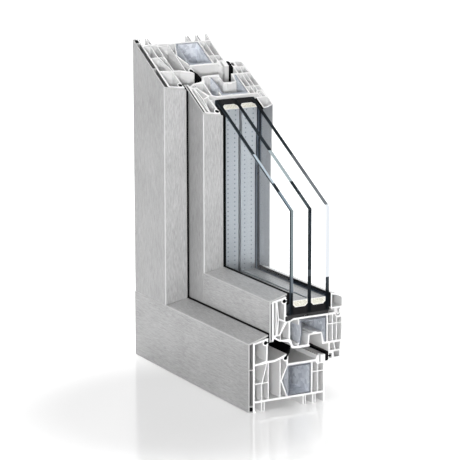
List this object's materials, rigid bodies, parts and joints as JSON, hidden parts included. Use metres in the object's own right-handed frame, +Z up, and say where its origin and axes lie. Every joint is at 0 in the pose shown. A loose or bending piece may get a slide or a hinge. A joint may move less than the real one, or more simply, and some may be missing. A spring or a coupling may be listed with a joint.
{
  "type": "window corner sample",
  "caption": "Cut-away corner of a plastic window, frame and sash with aluminium outer covers, steel cores, gaskets and insulating glass, showing the hollow chambers.",
  "frame": {"origin": "middle of the footprint, level with the lower edge of the outer frame", "axes": "+X along the bottom bars from the corner to the square cut, +Y from the outside towards the room, +Z up along the side bars"},
  "size_m": [0.237, 0.105, 0.329],
  "materials": {
    "white_plastic": "smooth white rigid plastic, sawn faces matt",
    "brushed_aluminium": "brushed along the bar, silver anodised",
    "galvanised_steel": "zinc-coated sheet",
    "black_rubber": "matt black",
    "clear_glass": "clear, faint grey-blue tint",
    "spacer_metal": "light grey, matt",
    "cream_desiccant": "fine cream grains",
    "black_seal": "matt black sealant",
    "dark_packer": "matt dark plastic"
  },
  "bodies": {
    "root": {"frame_profile_bottom": "white_plastic", "frame_profile_side": "white_plastic", "frame_steel_bottom": "galvanised_steel", "frame_steel_side": "galvanised_steel", "frame_cover_bottom": "brushed_aluminium", "frame_cover_side": "brushed_aluminium", "frame_cover_cord_bottom": "black_rubber", "frame_cover_cord_side": "black_rubber", "frame_outer_gasket_bottom": "black_rubber", "frame_outer_gasket_side": "black_rubber", "frame_middle_gasket_bottom": "black_rubber", "frame_middle_gasket_side": "black_rubber", "sash_profile_bottom": "white_plastic", "sash_profile_side": "white_plastic", "sash_steel_bottom": "galvanised_steel", "sash_steel_side": "galvanised_steel", "sash_cover_bottom": "brushed_aluminium", "sash_cover_side": "brushed_aluminium", "sash_overlap_gasket_bottom": "black_rubber", "sash_overlap_gasket_side": "black_rubber", "glass_outer_gasket_bottom": "black_rubber", "glass_outer_gasket_side": "black_rubber", "glass_inner_gasket_bottom": "black_rubber", "glass_inner_gasket_side": "black_rubber", "glazing_bead_bottom": "white_plastic", "glazing_bead_side": "white_plastic", "pane_outer": "clear_glass", "pane_middle": "clear_glass", "pane_inner": "clear_glass", "spacer_outer": "spacer_metal", "desiccant_outer": "cream_desiccant", "edge_seal_outer": "black_seal", "spacer_inner": "spacer_metal", "desiccant_inner": "cream_desiccant", "edge_seal_inner": "black_seal", "glazing_packer_bottom": "dark_packer", "glazing_packer_side": "dark_packer"}
  },
  "joints": []
}
